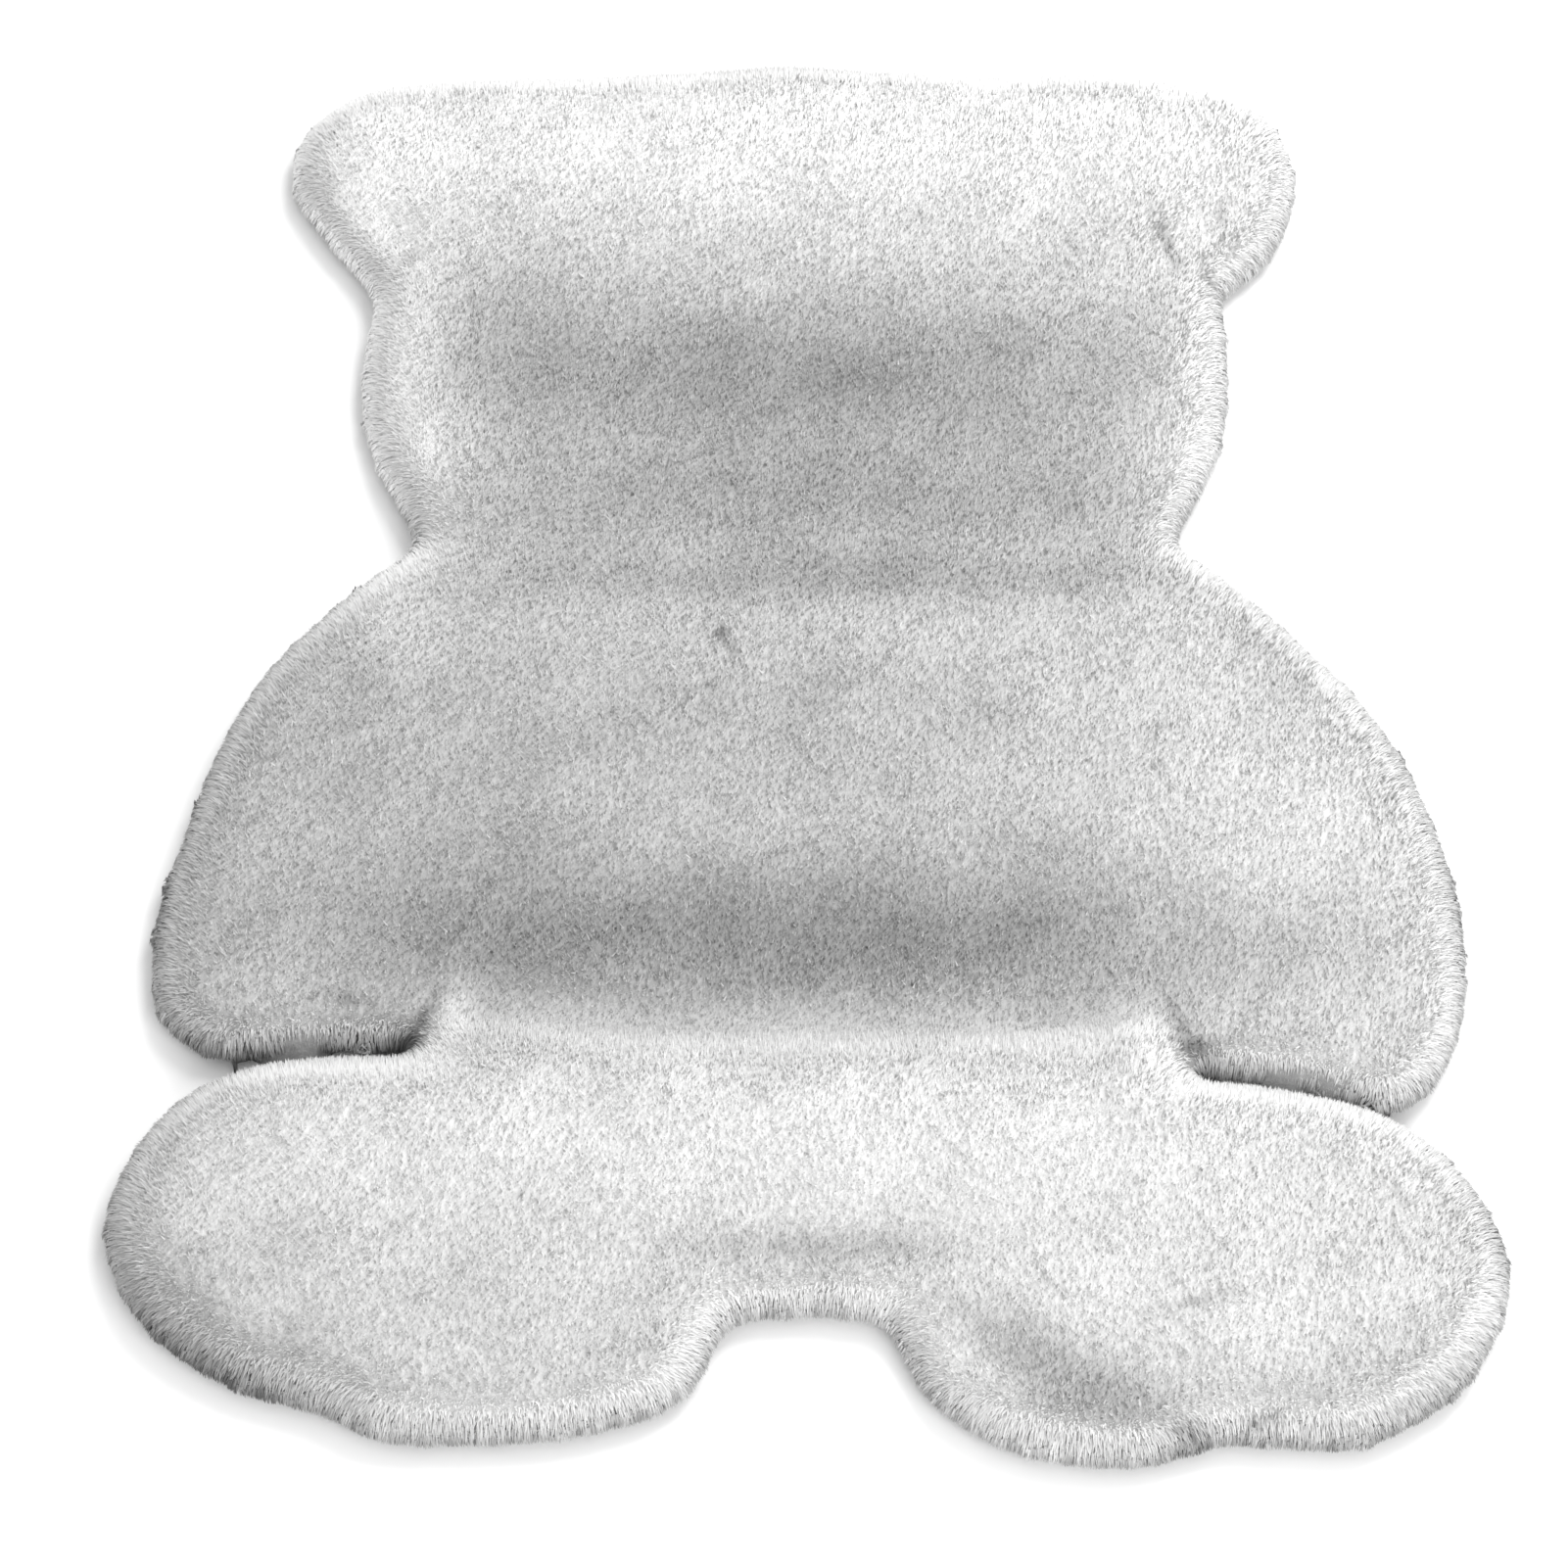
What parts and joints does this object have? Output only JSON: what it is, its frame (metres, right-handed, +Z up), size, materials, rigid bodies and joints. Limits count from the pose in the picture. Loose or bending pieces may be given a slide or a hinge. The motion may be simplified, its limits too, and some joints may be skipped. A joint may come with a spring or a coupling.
{
  "type": "bear shaped kids rug",
  "caption": "Children's rug cut to a bear's outline with ears, arms and feet: one thick flat sheet of long white plush, its pile hanging in locks around the rim",
  "frame": {"origin": "the middle of the rug's bounding box, at the level of the floor it lies on", "axes": "+Z up out of the pile, +Y along the rug towards the bear's head, +X towards the right of someone who stands at the feet and looks at the head"},
  "size_m": [0.6228, 0.8156, 0.0369],
  "materials": {
    "plush": "long soft pile, matt white"
  },
  "bodies": {
    "root": {"plush_rug": "plush"}
  },
  "joints": []
}
